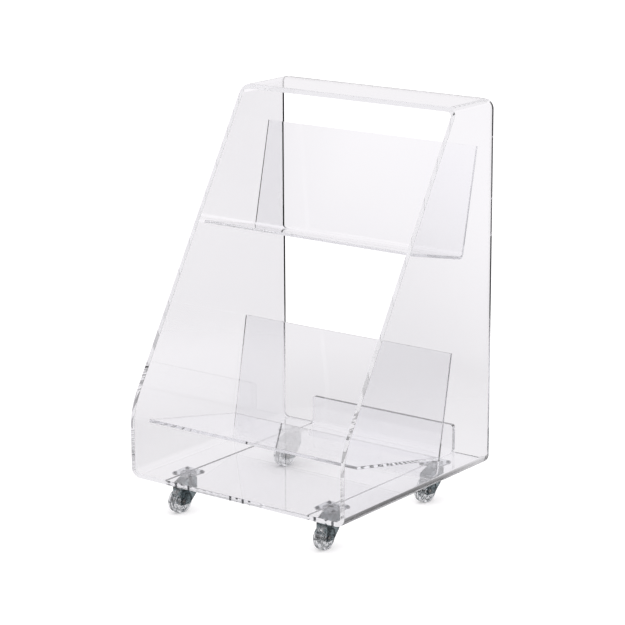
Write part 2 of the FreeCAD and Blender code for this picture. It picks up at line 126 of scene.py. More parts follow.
def makeWorld():
    # White all round, but whatever an edge or face mirrors is a studio that is dark on the camera's side
    world = bpy.data.worlds.new("studio")
    bpy.context.scene.world = world
    world.use_nodes = True
    tree = world.node_tree
    tree.nodes.clear()
    path = addNode(tree, "ShaderNodeLightPath")
    direction = addNode(tree, "ShaderNodeTexCoord").outputs["Generated"]
    forward = (-math.sin(math.radians(cameraView["azimuth"])), math.cos(math.radians(cameraView["azimuth"])),
               studio["cardTilt"])
    along = addNode(tree, "ShaderNodeVectorMath", {"operation": "DOT_PRODUCT"}, {0: direction})
    along.inputs[1].default_value = forward
    card = addNode(tree, "ShaderNodeMapRange", {"interpolation_type": "SMOOTHSTEP"},
                   {"Value": along.outputs["Value"]})
    setInputs(card, {"From Min": studio["cardFrom"], "From Max": studio["cardTo"],
                     "To Min": studio["dark"], "To Max": studio["cardLevel"]})
    height = addNode(tree, "ShaderNodeSeparateXYZ", None, {0: direction})
    # steeply down is the white table again
    below = addNode(tree, "ShaderNodeMapRange", {"interpolation_type": "SMOOTHSTEP"},
                    {"Value": height.outputs["Z"]})
    setInputs(below, {"From Min": studio["belowFrom"], "From Max": studio["belowTo"],
                      "To Min": studio["tableLevel"], "To Max": 0.0})
    ahead = addNode(tree, "ShaderNodeMapRange", {"interpolation_type": "SMOOTHSTEP"},
                    {"Value": height.outputs["Y"]})
    setInputs(ahead, {"From Min": studio["aheadFrom"], "From Max": studio["aheadTo"]})
    table = addNode(tree, "ShaderNodeMath", {"operation": "MULTIPLY"},
                    {0: below.outputs[0], 1: ahead.outputs[0]})
    # a white card beside the lens, which only the upper back panel mirrors
    toSide = addNode(tree, "ShaderNodeVectorMath", {"operation": "DOT_PRODUCT"}, {0: direction})
    toSide.inputs[1].default_value = studio["sideCard"]
    side = addNode(tree, "ShaderNodeMapRange", {"interpolation_type": "SMOOTHSTEP"},
                   {"Value": toSide.outputs["Value"]})
    setInputs(side, {"From Min": studio["sideFrom"], "From Max": studio["sideTo"]})
    raised = addNode(tree, "ShaderNodeMapRange", {"interpolation_type": "SMOOTHSTEP"},
                     {"Value": height.outputs["Z"]})
    setInputs(raised, {"From Min": studio["sideLow"], "From Max": studio["sideHigh"]})
    inFront = addNode(tree, "ShaderNodeMath", {"operation": "LESS_THAN"}, {0: height.outputs["Y"]})
    inFront.inputs[1].default_value = studio["sideInFront"]
    sideRaised = addNode(tree, "ShaderNodeMath", {"operation": "MULTIPLY"},
                         {0: side.outputs[0], 1: raised.outputs[0]})
    sideCard = addNode(tree, "ShaderNodeMath", {"operation": "MULTIPLY"},
                       {0: sideRaised.outputs[0], 1: inFront.outputs[0]})
    cards = addNode(tree, "ShaderNodeMath", {"operation": "MAXIMUM"},
                    {0: card.outputs[0], 1: sideCard.outputs[0]})
    mirrored = addNode(tree, "ShaderNodeMath", {"operation": "MAXIMUM"},
                       {0: cards.outputs[0], 1: table.outputs[0]})
    # what lights the paper is always the white room
    scattered = addNode(tree, "ShaderNodeMath", {"operation": "MULTIPLY"}, {0: path.outputs["Diffuse Depth"]})
    scattered.inputs[1].default_value = studio["scatterWeight"]
    straight = addNode(tree, "ShaderNodeMath", {"operation": "SUBTRACT"},
                       {0: path.outputs["Glossy Depth"], 1: scattered.outputs[0]})
    isMirror = addNode(tree, "ShaderNodeMath", {"operation": "GREATER_THAN"}, {0: straight.outputs[0]})
    isMirror.inputs[1].default_value = studio["mirrorFrom"]
    level = addNode(tree, "ShaderNodeMix", {"data_type": "FLOAT"},
                    {"Factor": isMirror.outputs[0], "B": mirrored.outputs[0]})
    level.inputs["A"].default_value = studio["backdrop"]
    background = addNode(tree, "ShaderNodeBackground", None, {"Strength": level.outputs[0]})
    background.inputs["Color"].default_value = linearColor(studio["white"])
    world.cycles.sampling_method = "NONE"
    addNode(tree, "ShaderNodeOutputWorld", None, {"Surface": background.outputs[0]})


def makeFloor():
    # Matt white paper with painted shade close to the rack; its far part is left out of what edges mirror
    bm = bmesh.new()
    bmesh.ops.create_circle(bm, cap_ends=True, segments=floorPaper["sides"], radius=floorPaper["radius"])
    mesh = bpy.data.meshes.new("studioFloor")
    bm.to_mesh(mesh)
    bm.free()
    floor = bpy.data.objects.new("studioFloor", mesh)
    bpy.context.scene.collection.objects.link(floor)
    material = bpy.data.materials.new("mattWhitePaper")
    material.use_nodes = True
    tree = material.node_tree
    tree.nodes.clear()
    path = addNode(tree, "ShaderNodeLightPath")
    place = addNode(tree, "ShaderNodeTexCoord").outputs["Object"]
    radius = addNode(tree, "ShaderNodeVectorMath", {"operation": "LENGTH"}, {0: place})
    far = addNode(tree, "ShaderNodeMapRange", {"interpolation_type": "SMOOTHSTEP"},
                  {"Value": radius.outputs["Value"]})
    setInputs(far, {"From Min": floorPaper["fadeFrom"], "From Max": floorPaper["fadeTo"]})
    isMirror = addNode(tree, "ShaderNodeMath", {"operation": "GREATER_THAN"}, {0: path.outputs["Glossy Depth"]})
    isMirror.inputs[1].default_value = studio["mirrorFrom"]
    leftOut = addNode(tree, "ShaderNodeMath", {"operation": "MULTIPLY"},
                      {0: far.outputs[0], 1: isMirror.outputs[0]})
    # painted shade: the paper is coloured darker close to the rack and a little brighter the further back it
    # lies
    share = addNode(tree, "ShaderNodeMath", {"operation": "DIVIDE"}, {0: radius.outputs["Value"]})
    share.inputs[1].default_value = floorPaper["reach"]
    shade = addNode(tree, "ShaderNodeValToRGB", None, {0: share.outputs[0]})
    stops = shade.color_ramp.elements
    while len(stops) < len(floorPaper["paintedShadeTones"]):
        stops.new(1.0)
    for stop, (distance, albedo) in zip(stops, floorPaper["paintedShadeTones"]):
        stop.position = distance / floorPaper["reach"]
        stop.color = (albedo, albedo, albedo, 1)
    # painted shade: what the edges mirror of it is darker close under the rack, standing in for the rack's
    # shade
    under = addNode(tree, "ShaderNodeMapRange", {"interpolation_type": "SMOOTHSTEP"},
                    {"Value": radius.outputs["Value"]})
    setInputs(under, {"From Min": floorPaper["shadeFrom"], "From Max": floorPaper["shadeTo"],
                      "To Min": floorPaper["shadeDepth"], "To Max": 1.0})
    paintedShadeInMirror = addNode(tree, "ShaderNodeMix", {"data_type": "FLOAT"},
                     {"Factor": isMirror.outputs[0], "B": under.outputs[0]})
    paintedShadeInMirror.inputs["A"].default_value = 1.0
    seen = addNode(tree, "ShaderNodeVectorMath", {"operation": "SCALE"},
                   {0: shade.outputs[0], "Scale": paintedShadeInMirror.outputs[0]})
    paper = addNode(tree, "ShaderNodeBsdfDiffuse", None, {"Color": seen.outputs[0]})
    lift = addNode(tree, "ShaderNodeEmission", None, {"Strength": path.outputs["Is Camera Ray"]})
    lift.inputs["Color"].default_value = (floorPaper["lift"], floorPaper["lift"], floorPaper["lift"], 1)
    lit = addNode(tree, "ShaderNodeAddShader", None, {0: paper.outputs[0], 1: lift.outputs[0]})
    clear = addNode(tree, "ShaderNodeBsdfTransparent")
    mixed = addNode(tree, "ShaderNodeMixShader", None,
                    {0: leftOut.outputs[0], 1: lit.outputs[0], 2: clear.outputs[0]})
    addNode(tree, "ShaderNodeOutputMaterial", None, {"Surface": mixed.outputs[0]})
    mesh.materials.append(material)


def makeLights():
    data = bpy.data.lights.new("topSoftbox", "AREA")
    data.shape = "RECTANGLE"
    data.size = topLamp["wide"]
    data.size_y = topLamp["deep"]
    data.energy = topLamp["energy"]
    light = bpy.data.objects.new("topSoftbox", data)
    place = Vector(topLamp["place"])
    light.location = place
    light.rotation_euler = (place - Vector(topLamp["aim"])).to_track_quat("Z", "Y").to_euler()
    bpy.context.scene.collection.objects.link(light)


makeWorld()
makeFloor()
makeLights()
scene = bpy.context.scene
scene.view_settings.view_transform = "Standard"
scene.cycles.max_bounces = 96
scene.cycles.transmission_bounces = 48
scene.cycles.glossy_bounces = 80
scene.cycles.transparent_max_bounces = 16
scene.cycles.caustics_reflective = True
scene.cycles.caustics_refractive = True
scene.cycles.use_denoising = True
scene.cycles.sample_clamp_indirect = 8
print("camera, floor and lights ready")

# Acrylic sheets


def newMaterial(name):
    material = bpy.data.materials.new(name)
    material.use_nodes = True
    material.node_tree.nodes.clear()
    return material


# sizes in mm
acrylicFinish = {"light": "#FEFEFF", "deep": "#FCFCFE", "cloud": 90, "wave": 70, "waveHeight": 0.012,
                 "edgeLight": "#FBFBFD", "edgeDeep": "#F7F8FA", "stroke": 3.2, "strokeHeight": 0.0015,
                 "strokeLength": 0.12}


def castAcrylicFaces():
    # Cast acrylic sheet, factory glossy faces: clear and sharp, with the long faint waves that casting leaves
    material = newMaterial("castAcrylicGlossyFaces")
    tree = material.node_tree
    place = addNode(tree, "ShaderNodeTexCoord").outputs["Object"]
    cloud = addNode(tree, "ShaderNodeTexNoise", None, {"Vector": place})
    setInputs(cloud, {"Scale": 1 / (acrylicFinish["cloud"] * mm), "Detail": 1.0})
    tone = addNode(tree, "ShaderNodeMix", {"data_type": "RGBA"}, {"Factor": cloud.outputs[0]})
    tone.inputs["A"].default_value = linearColor(acrylicFinish["light"])
    tone.inputs["B"].default_value = linearColor(acrylicFinish["deep"])
    wave = addNode(tree, "ShaderNodeTexNoise", None, {"Vector": place})
    setInputs(wave, {"Scale": 1 / (acrylicFinish["wave"] * mm), "Detail": 0.0})
    bump = addNode(tree, "ShaderNodeBump", None, {"Height": wave.outputs[0]})
    setInputs(bump, {"Strength": 1.0, "Distance": acrylicFinish["waveHeight"] * mm})
    body = addNode(tree, "ShaderNodeBsdfPrincipled", None,
                   {"Base Color": tone.outputs["Result"], "Normal": bump.outputs[0]})
    setInputs(body, {"Roughness": 0.0, "IOR": 1.49, "Transmission Weight": 1.0})
    addNode(tree, "ShaderNodeOutputMaterial", None, {"Surface": body.outputs[0]})
    return material


def flamePolishedEdge():
    # The cut edges, sanded and flame polished: clear, with soft ripples where the cutter's strokes melted away.
    # The strokes are drawn coarser than the real 1 mm ones so that they show.
    material = newMaterial("castAcrylicPolishedEdge")
    tree = material.node_tree
    place = addNode(tree, "ShaderNodeTexCoord").outputs["Object"]
    across = addNode(tree, "ShaderNodeMapping", None, {"Vector": place})
    across.inputs["Scale"].default_value = (acrylicFinish["strokeLength"], 1, 1)
    stroke = addNode(tree, "ShaderNodeTexNoise", None, {"Vector": across.outputs[0]})
    setInputs(stroke, {"Scale": 1 / (acrylicFinish["stroke"] * mm), "Detail": 1.0})
    tone = addNode(tree, "ShaderNodeMix", {"data_type": "RGBA"}, {"Factor": stroke.outputs[0]})
    tone.inputs["A"].default_value = linearColor(acrylicFinish["edgeLight"])
    tone.inputs["B"].default_value = linearColor(acrylicFinish["edgeDeep"])
    bump = addNode(tree, "ShaderNodeBump", None, {"Height": stroke.outputs[0]})
    setInputs(bump, {"Strength": 1.0, "Distance": acrylicFinish["strokeHeight"] * mm})
    body = addNode(tree, "ShaderNodeBsdfPrincipled", None,
                   {"Base Color": tone.outputs["Result"], "Normal": bump.outputs[0]})
    setInputs(body, {"Roughness": 0.0, "IOR": 1.49, "Transmission Weight": 1.0})
    addNode(tree, "ShaderNodeOutputMaterial", None, {"Surface": body.outputs[0]})
    return material


acrylicFace = castAcrylicFaces()
acrylicEdge = flamePolishedEdge()

sheetEdge = {"chamfer": 0.35, "segments": 2, "angle": 35}


def bentSheet(name, stations, node):
    # A sheet that follows a path. Each station is four corners: outer low, outer high, inner high and
    # inner low.
    bm = bmesh.new()
    rings = [[bm.verts.new(Vector(corner) * mm) for corner in station] for station in stations]
    for first, second in zip(rings, rings[1:]):
        for side in range(4):
            following = (side + 1) % 4
            face = bm.faces.new((first[side], first[following], second[following], second[side]))
            face.material_index = side % 2
            face.smooth = True
    for ring in (rings[0], rings[-1]):
        face = bm.faces.new(ring)
        face.material_index = 1
        face.smooth = True
    bmesh.ops.recalc_face_normals(bm, faces=bm.faces)
    mesh = bpy.data.meshes.new(name)
    bm.to_mesh(mesh)
    bm.free()
    mesh.materials.append(acrylicFace)
    mesh.materials.append(acrylicEdge)
    piece = bpy.data.objects.new(name, mesh)
    bpy.context.scene.collection.objects.link(piece)
    bevel = piece.modifiers.new("brokenEdges", "BEVEL")
    bevel.width = sheetEdge["chamfer"] * mm
    bevel.segments = sheetEdge["segments"]
    bevel.limit_method = "ANGLE"
    bevel.angle_limit = math.radians(sheetEdge["angle"])
    weighted = piece.modifiers.new("flatFaces", "WEIGHTED_NORMAL")
    weighted.mode = "FACE_AREA"
    weighted.weight = 100
    piece.visible_diffuse = False
    piece.visible_shadow = False
    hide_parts(node)
    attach(piece, "rack")
    return piece


def boxOf(node):
    low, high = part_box(node)
    return low / mm, high / mm


def arcPoints(centre, radius, start, end, steps):
    return [(centre[0] + radius * math.cos(math.radians(start + (end - start) * i / steps)),
             centre[1] + radius * math.sin(math.radians(start + (end - start) * i / steps)))
            for i in range(steps + 1)]


shellSize = {"thick": 8, "bendInside": 9, "lipAt": 150, "noseHeight": 119, "noseRounding": 120,
             "topFront": 102, "bendSteps": 18, "noseSteps": 12}


def makeShell():
    low, high = boxOf("shell")
    size = shellSize
    half, bottom, top, front, back = high.x, low.z, high.z, low.y, high.y
    noseZ = bottom + size["noseHeight"]
    slope = math.atan2(size["topFront"] - front, top - noseZ)
    tangent = size["noseRounding"] * math.tan(slope / 2)
    arcLow = noseZ - tangent
    arcHigh = noseZ + tangent * math.cos(slope)

    def frontAt(z):
        if z <= arcLow:
            return front
        if z < arcHigh:
            return front + size["noseRounding"] - math.sqrt(size["noseRounding"] ** 2 - (z - arcLow) ** 2)
        return front + (z - noseZ) * math.tan(slope)

    outer = size["bendInside"] + size["thick"]
    corner = half - outer
    turns = size["bendSteps"]
    path = [((size["lipAt"], bottom), (size["lipAt"], bottom + size["thick"]))]
    path += list(zip(arcPoints((corner, bottom + outer), outer, -90, 0, turns),
                     arcPoints((corner, bottom + outer), size["bendInside"], -90, 0, turns)))
    for i in range(size["noseSteps"] + 1):
        z = arcLow + size["noseRounding"] * math.sin(slope * i / size["noseSteps"])
        path.append(((half, z), (half - size["thick"], z)))
    path += list(zip(arcPoints((corner, top - outer), outer, 0, 90, turns),
                     arcPoints((corner, top - outer), size["bendInside"], 0, 90, turns)))
    path += [((-a[0], a[1]), (-b[0], b[1])) for a, b in reversed(path)]
    stations = [((a[0], frontAt(a[1]), a[1]), (a[0], back, a[1]),
                 (b[0], back, b[1]), (b[0], frontAt(b[1]), b[1])) for a, b in path]
    bentSheet("shellSheet", stations, "shell")


floorSize = {"thick": 8, "bendInside": 9, "cornerRound": 5, "bendSteps": 18, "cornerSteps": 8}


def makeFloorPanel():
    low, high = boxOf("floor_panel")
    size = floorSize
    half, back = high.x, high.y
    outer = size["bendInside"] + size["thick"]
    path = [((low.y, low.z), (low.y, low.z + size["thick"]), half)]
    centre = (back - outer, low.z + outer)
    path += [(a, b, half) for a, b in zip(arcPoints(centre, outer, -90, 0, size["bendSteps"]),
                                          arcPoints(centre, size["bendInside"], -90, 0, size["bendSteps"]))]
    rounding = size["cornerRound"]
    for width, z in arcPoints((half - rounding, high.z - rounding), rounding, 0, 90, size["cornerSteps"]):
        path.append(((back, z), (back - size["thick"], z), width))
    bentSheet("floorSheet", [((-w, a[0], a[1]), (w, a[0], a[1]), (w, b[0], b[1]), (-w, b[0], b[1]))
                             for a, b, w in path], "floor_panel")


upperSize = {"thick": 5, "bendInside": 5, "lean": 12.6, "corner": (123.3, 444.8), "back": 185, "ledge": 142,
             "glue": 0.12, "bendSteps": 14}
lowerSize = {"thick": 5, "lean": 10.9, "foot": (52.7, 70), "back": 217, "ledgeUp": 41.4, "ledge": 235,
             "notch": 12, "glue": 0.12}


def leaning(lean, origin):
    # from a sheet's own depth and height to the rack's, for a sheet that leans back about its corner line
    angle = math.radians(lean)

    def place(x, depth, height):
        return (x, origin[0] + depth * math.cos(angle) + height * math.sin(angle),
                origin[1] - depth * math.sin(angle) + height * math.cos(angle))
    return place


def makeUpperShelf():
    size = upperSize
    half = boxOf("upper_shelf")[1].x - size["glue"]
    place = leaning(size["lean"], size["corner"])
    inside, outer = size["bendInside"], size["bendInside"] + size["thick"]
    path = [((-size["ledge"], -size["thick"]), (-size["ledge"], 0))]
    path += list(zip(arcPoints((-inside, inside), outer, -90, 0, size["bendSteps"]),
                     arcPoints((-inside, inside), inside, -90, 0, size["bendSteps"])))
    path.append(((size["thick"], size["back"]), (0, size["back"])))
    bentSheet("upperShelfSheet", [(place(-half, *a), place(half, *a), place(half, *b), place(-half, *b))
                                  for a, b in path], "upper_shelf")


def makeLowerBackPanel():
    size = lowerSize
    half = boxOf("lower_back_panel")[1].x - size["glue"]
    lean = math.radians(size["lean"])
    place = leaning(size["lean"], (size["foot"][0] + size["thick"] * math.sin(lean) * math.tan(lean),
                                   size["foot"][1] + size["thick"] * math.sin(lean) + size["glue"]))
    stations = []
    for height, width in ((0, half - size["notch"]), (size["notch"], half), (size["back"], half)):
        stations.append((place(-width, size["thick"], height), place(width, size["thick"], height),
                         place(width, 0, height), place(-width, 0, height)))
    bentSheet("lowerBackSheet", stations, "lower_back_panel")


def makeLowerLedge():
    size = lowerSize
    half = boxOf("lower_ledge")[1].x - size["glue"]
    place = leaning(size["lean"], size["foot"])
    rise = size["ledgeUp"]
    stations = [(place(-half, depth, rise - size["thick"]), place(half, depth, rise - size["thick"]),
                 place(half, depth, rise), place(-half, depth, rise))
                for depth in (-size["ledge"], -size["glue"])]
    bentSheet("lowerLedgeSheet", stations, "lower_ledge")


makeShell()
makeFloorPanel()
makeUpperShelf()
makeLowerBackPanel()
makeLowerLedge()
print("acrylic sheets ready")

# Casters


# sizes in mm; the plating's clouds are drawn coarser than real ones so that they show
casterFinish = {"cloud": 1.4286, "cloudDetail": 5.0, "cloudLow": 0.3, "cloudHigh": 0.7,
                "toolRelief": 0.05, "toolStrength": 0.12, "toolDetail": 3.0, "flow": 9, "flowDetail": 1.0}


def zincPlatedSteel(name, tone, low, high):
    # Pressed or headed steel with bright zinc plate: grey with a faint cloudy lustre
    material = newMaterial(name)
    tree = material.node_tree
    place = addNode(tree, "ShaderNodeTexCoord").outputs["Object"]
    cloud = addNode(tree, "ShaderNodeTexNoise", None, {"Vector": place},
                    Scale=1 / (casterFinish["cloud"] * mm), Detail=casterFinish["cloudDetail"])
    gloss = addNode(tree, "ShaderNodeMapRange", None, {"Value": cloud.outputs[0]})
    setInputs(gloss, {"From Min": casterFinish["cloudLow"], "From Max": casterFinish["cloudHigh"],
                      "To Min": low, "To Max": high})
    tint = addNode(tree, "ShaderNodeMix", {"data_type": "RGBA"}, {"Factor": cloud.outputs[0]})
    tint.inputs["A"].default_value = linearColor(tone[0])
    tint.inputs["B"].default_value = linearColor(tone[1])
    body = addNode(tree, "ShaderNodeBsdfPrincipled", None, {"Base Color": tint.outputs["Result"],
                                                            "Roughness": gloss.outputs[0]})
    body.inputs["Metallic"].default_value = 1.0
    addNode(tree, "ShaderNodeOutputMaterial", None, {"Surface": body.outputs[0]})
    return material


def turnedSteel(name, tone, turning, roughness):
    # Turned or ground steel, some of it nickel plated: bright, with a fine unevenness left by the tool
    material = newMaterial(name)
    tree = material.node_tree
    place = addNode(tree, "ShaderNodeTexCoord").outputs["Object"]
    marks = addNode(tree, "ShaderNodeTexNoise", None, {"Vector": place},
                    Scale=1 / (turning * mm), Detail=casterFinish["toolDetail"])
    relief = addNode(tree, "ShaderNodeBump", None, {"Height": marks.outputs[0]},
                     Strength=casterFinish["toolStrength"], Distance=casterFinish["toolRelief"] * mm)
    body = addNode(tree, "ShaderNodeBsdfPrincipled", None, {"Normal": relief.outputs[0]})
    setInputs(body, {"Base Color": linearColor(tone), "Metallic": 1.0, "Roughness": roughness})
    addNode(tree, "ShaderNodeOutputMaterial", None, {"Surface": body.outputs[0]})
    return material


def mouldedPolycarbonate(name, tone, flow):
    # Injection moulded polycarbonate: glossy, with soft flow ripples that bend what is seen through it
    material = newMaterial(name)
    tree = material.node_tree
    place = addNode(tree, "ShaderNodeTexCoord").outputs["Object"]
    ripple = addNode(tree, "ShaderNodeTexNoise", None, {"Vector": place},
                     Scale=1 / (casterFinish["flow"] * mm), Detail=casterFinish["flowDetail"])
    relief = addNode(tree, "ShaderNodeBump", None, {"Height": ripple.outputs[0]},
                     Strength=1.0, Distance=flow * mm)
    body = addNode(tree, "ShaderNodeBsdfPrincipled", None, {"Normal": relief.outputs[0]})
    setInputs(body, {"Base Color": linearColor(tone), "Roughness": 0.0, "IOR": 1.58,
                     "Transmission Weight": 1.0})
    addNode(tree, "ShaderNodeOutputMaterial", None, {"Surface": body.outputs[0]})
    return material


smokyHood = mouldedPolycarbonate("smokyMouldedPolycarbonate", "#7E898C", 0.12)
clearWheel = mouldedPolycarbonate("clearMouldedPolycarbonate", "#F3F5F6", 0.08)
clearPlate = mouldedPolycarbonate("faintlySmokyMouldedPolycarbonate", "#DDE0E3", 0.1)
zincScrew = zincPlatedSteel("zincPlatedHeadedSteel", ("#8E9094", "#A6A8AB"), 0.2, 0.36)
zincCup = zincPlatedSteel("zincPlatedPressedSteel", ("#A3A6A9", "#B7B9BC"), 0.24, 0.4)
nickelPin = turnedSteel("nickelPlatedTurnedSteel", "#C2C1BC", 0.7, 0.16)
polishedBall = turnedSteel("polishedBallSteel", "#CFD0D2", 3.0, 0.06)
turnedBush = turnedSteel("plainTurnedSteel", "#9C9D9F", 0.5, 0.3)


def pieceFromMesh(name, mesh, material):
    mesh.materials.clear()
    mesh.materials.append(material)
    piece = bpy.data.objects.new(name, mesh)
    bpy.context.scene.collection.objects.link(piece)
    return piece


def finished(piece, node, body):
    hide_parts(node)
    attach(piece, body)
    return piece


def smoothByAngle(mesh, degrees):
    for polygon in mesh.polygons:
        polygon.use_smooth = True
    bm = bmesh.new()
    bm.from_mesh(mesh)
    for edge in bm.edges:
        edge.smooth = edge.calc_face_angle(0) < math.radians(degrees)
    bm.to_mesh(mesh)
    bm.free()


copySize = {"topBand": 0.01, "merge": 0.004, "flatAngle": 0.6, "bevelAngle": 32, "segments": 3}


def softenedCopy(name, node, material, rounding, air=0.0):
    # A CAD piece with its moulded or tumbled edges rounded over; air is kept free above its top face
    bm = bmesh.new()
    bm.from_mesh(frame["nodes"][node].data)
    top = max(vert.co.z for vert in bm.verts)
    for vert in bm.verts:
        if vert.co.z > top - copySize["topBand"] * mm:
            vert.co.z -= air * mm
    bmesh.ops.remove_doubles(bm, verts=bm.verts, dist=copySize["merge"] * mm)
    bmesh.ops.dissolve_limit(bm, angle_limit=math.radians(copySize["flatAngle"]), verts=bm.verts,
                             edges=bm.edges)
    bmesh.ops.recalc_face_normals(bm, faces=bm.faces)
    mesh = bpy.data.meshes.new(name)
    bm.to_mesh(mesh)
    bm.free()
    for polygon in mesh.polygons:
        polygon.use_smooth = True
    piece = pieceFromMesh(name, mesh, material)
    bevel = piece.modifiers.new("roundedEdges", "BEVEL")
    bevel.width = rounding * mm
    bevel.segments = copySize["segments"]
    bevel.limit_method = "ANGLE"
    bevel.angle_limit = math.radians(copySize["bevelAngle"])
    weighted = piece.modifiers.new("flatFaces", "WEIGHTED_NORMAL")
    weighted.mode = "FACE_AREA_WITH_ANGLE"
    return piece


def lathe(bm, profile, segments):
    # Turn a profile of (radius, height) pairs about Z; a zero radius closes the end
    rings = []
    for radius, height in profile:
        if radius == 0:
            rings.append([bm.verts.new((0, 0, height * mm))])
        else:
            rings.append([bm.verts.new((radius * math.cos(2 * math.pi * i / segments) * mm,
                                        radius * math.sin(2 * math.pi * i / segments) * mm, height * mm))
                          for i in range(segments)])
    for low, high in zip(rings, rings[1:]):
        for i in range(segments):
            following = (i + 1) % segments
            corners = [low[i % len(low)], low[following % len(low)], high[following % len(high)],
                       high[i % len(high)]]
            corners = [c for k, c in enumerate(corners) if c not in corners[:k]]
            bm.faces.new(corners)
    return rings


screwSize = {"head": 4.3, "headThick": 2.4, "crown": 1.26, "crownAngles": (25, 45, 62, 76, 90), "rim": 0.15,
             "shank": 2.38, "root": 1.85, "pitch": 1.0, "threadAt": (0.3, 0.6, 0.9), "threadEnd": 0.6,
             "under": 60, "tip": 68.3, "tipRoot": 0.5, "tipRound": 0.1, "tipShare": 0.6,
             "slotLong": 5.0, "slotWide": 1.05, "slotDeep": 1.2, "slotTaper": 0.62, "slotBelow": 1.0,
             "sides": 28, "smooth": 28, "spread": 32, "seed": 4}


def screwSource():
    # A pan head below, a rolled thread above and a pressed cross in the head
    size = screwSize
    bm = bmesh.new()
    top = size["under"]
    face = top - size["headThick"]
    profile = [(0, face)]
    profile += [(size["head"] * math.sin(math.radians(a)),
                 face + size["crown"] * (1 - math.cos(math.radians(a)))) for a in size["crownAngles"]]
    profile += [(size["head"], top - size["rim"]), (size["head"] - size["rim"], top), (size["shank"], top)]
    height = top
    while height + size["pitch"] < size["tip"] - size["threadEnd"]:
        profile += [(size[part], height + share * size["pitch"])
                    for part, share in zip(("shank", "root", "shank"), size["threadAt"])]
        height += size["pitch"]
    profile += [(size["root"], size["tip"] - size["tipRoot"]),
                (size["root"] * size["tipShare"], size["tip"] - size["tipRound"]), (0, size["tip"])]
    lathe(bm, profile, size["sides"])
    bmesh.ops.recalc_face_normals(bm, faces=bm.faces)
    mesh = bpy.data.meshes.new("screwBlank")
    bm.to_mesh(mesh)
    bm.free()
    screw = bpy.data.objects.new("screwBlank", mesh)
    bpy.context.scene.collection.objects.link(screw)
    cutter = bmesh.new()
    for long, wide in ((size["slotLong"], size["slotWide"]), (size["slotWide"], size["slotLong"])):
        made = bmesh.ops.create_cube(cutter, size=1)
        for vert in made["verts"]:
            taper = size["slotTaper"] if vert.co.z > 0 else 1.0
            vert.co = Vector((vert.co.x * long * taper, vert.co.y * wide * taper,
                              face + (size["slotDeep"] if vert.co.z > 0 else -size["slotBelow"]))) * mm
    cross = bpy.data.meshes.new("crossCutter")
    cutter.to_mesh(cross)
    cutter.free()
    tool = bpy.data.objects.new("crossCutter", cross)
    bpy.context.scene.collection.objects.link(tool)
    cut = screw.modifiers.new("cross", "BOOLEAN")
    cut.operation = "DIFFERENCE"
    cut.object = tool
    cut.solver = "EXACT"
    cut.use_self = True
    made = bpy.data.meshes.new_from_object(screw.evaluated_get(bpy.context.evaluated_depsgraph_get()))
    made.name = "screwSource"
    smoothByAngle(made, size["smooth"])
    bpy.data.objects.remove(screw)
    bpy.data.objects.remove(tool)
    return pieceFromMesh("screwSource", made, zincScrew)


def geometryTree(name, sizes):
    # An empty geometry tree with a named input for each size
    tree = bpy.data.node_groups.new(name, "GeometryNodeTree")
    tree.interface.new_socket("Geometry", in_out="INPUT", socket_type="NodeSocketGeometry")
    tree.interface.new_socket("Geometry", in_out="OUTPUT", socket_type="NodeSocketGeometry")
    for label, kind in sizes.items():
        tree.interface.new_socket(label, in_out="INPUT", socket_type="NodeSocket" + kind)
    return tree


def screwTree():
    # The same screw near each corner of the plate, each stopped at a turn of its own
    tree = geometryTree("screwsAtPlateCorners", {"Screw": "Object", "Spread": "Float", "Seed": "Int",
                                                 "Finish": "Material"})
    inputs = addNode(tree, "NodeGroupInput")
    grid = addNode(tree, "GeometryNodeMeshGrid", None, {"Size X": inputs.outputs["Spread"],
                                                        "Size Y": inputs.outputs["Spread"]},
                   Vertices_X=2, Vertices_Y=2)
    source = addNode(tree, "GeometryNodeObjectInfo", {"transform_space": "ORIGINAL"},
                     {"Object": inputs.outputs["Screw"]})
    turn = addNode(tree, "FunctionNodeRandomValue", {"data_type": "FLOAT_VECTOR"},
                   {"Seed": inputs.outputs["Seed"]})
    turn.inputs[0].default_value = (0, 0, 0)
    turn.inputs[1].default_value = (0, 0, math.pi)
    placed = addNode(tree, "GeometryNodeInstanceOnPoints", None,
                     {"Points": grid.outputs["Mesh"], "Instance": source.outputs["Geometry"],
                      "Rotation": turn.outputs[0]})
    real = addNode(tree, "GeometryNodeRealizeInstances", None, {0: placed.outputs[0]})
    coat = addNode(tree, "GeometryNodeSetMaterial", None, {"Geometry": real.outputs[0],
                                                           "Material": inputs.outputs["Finish"]})
    addNode(tree, "NodeGroupOutput", None, {0: coat.outputs[0]})
    return tree


ballSize = {"radius": 1.48, "circle": 10, "count": 10, "height": 58.48, "subdivisions": 4}


def ballTree():
    # A ring of balls
    tree = geometryTree("ballsInRing", {"Circle": "Float", "Count": "Int", "Ball": "Float",
                                        "Finish": "Material"})
    inputs = addNode(tree, "NodeGroupInput")
    ring = addNode(tree, "GeometryNodeMeshCircle", None, {"Vertices": inputs.outputs["Count"],
                                                          "Radius": inputs.outputs["Circle"]})
    ball = addNode(tree, "GeometryNodeMeshIcoSphere", None, {"Radius": inputs.outputs["Ball"]},
                   Subdivisions=ballSize["subdivisions"])
    smooth = addNode(tree, "GeometryNodeSetShadeSmooth", None, {"Geometry": ball.outputs["Mesh"]})
    placed = addNode(tree, "GeometryNodeInstanceOnPoints", None,
                     {"Points": ring.outputs["Mesh"], "Instance": smooth.outputs["Geometry"]})
    real = addNode(tree, "GeometryNodeRealizeInstances", None, {0: placed.outputs[0]})
    coat = addNode(tree, "GeometryNodeSetMaterial", None, {"Geometry": real.outputs[0],
                                                           "Material": inputs.outputs["Finish"]})
    addNode(tree, "NodeGroupOutput", None, {0: coat.outputs[0]})
    return tree


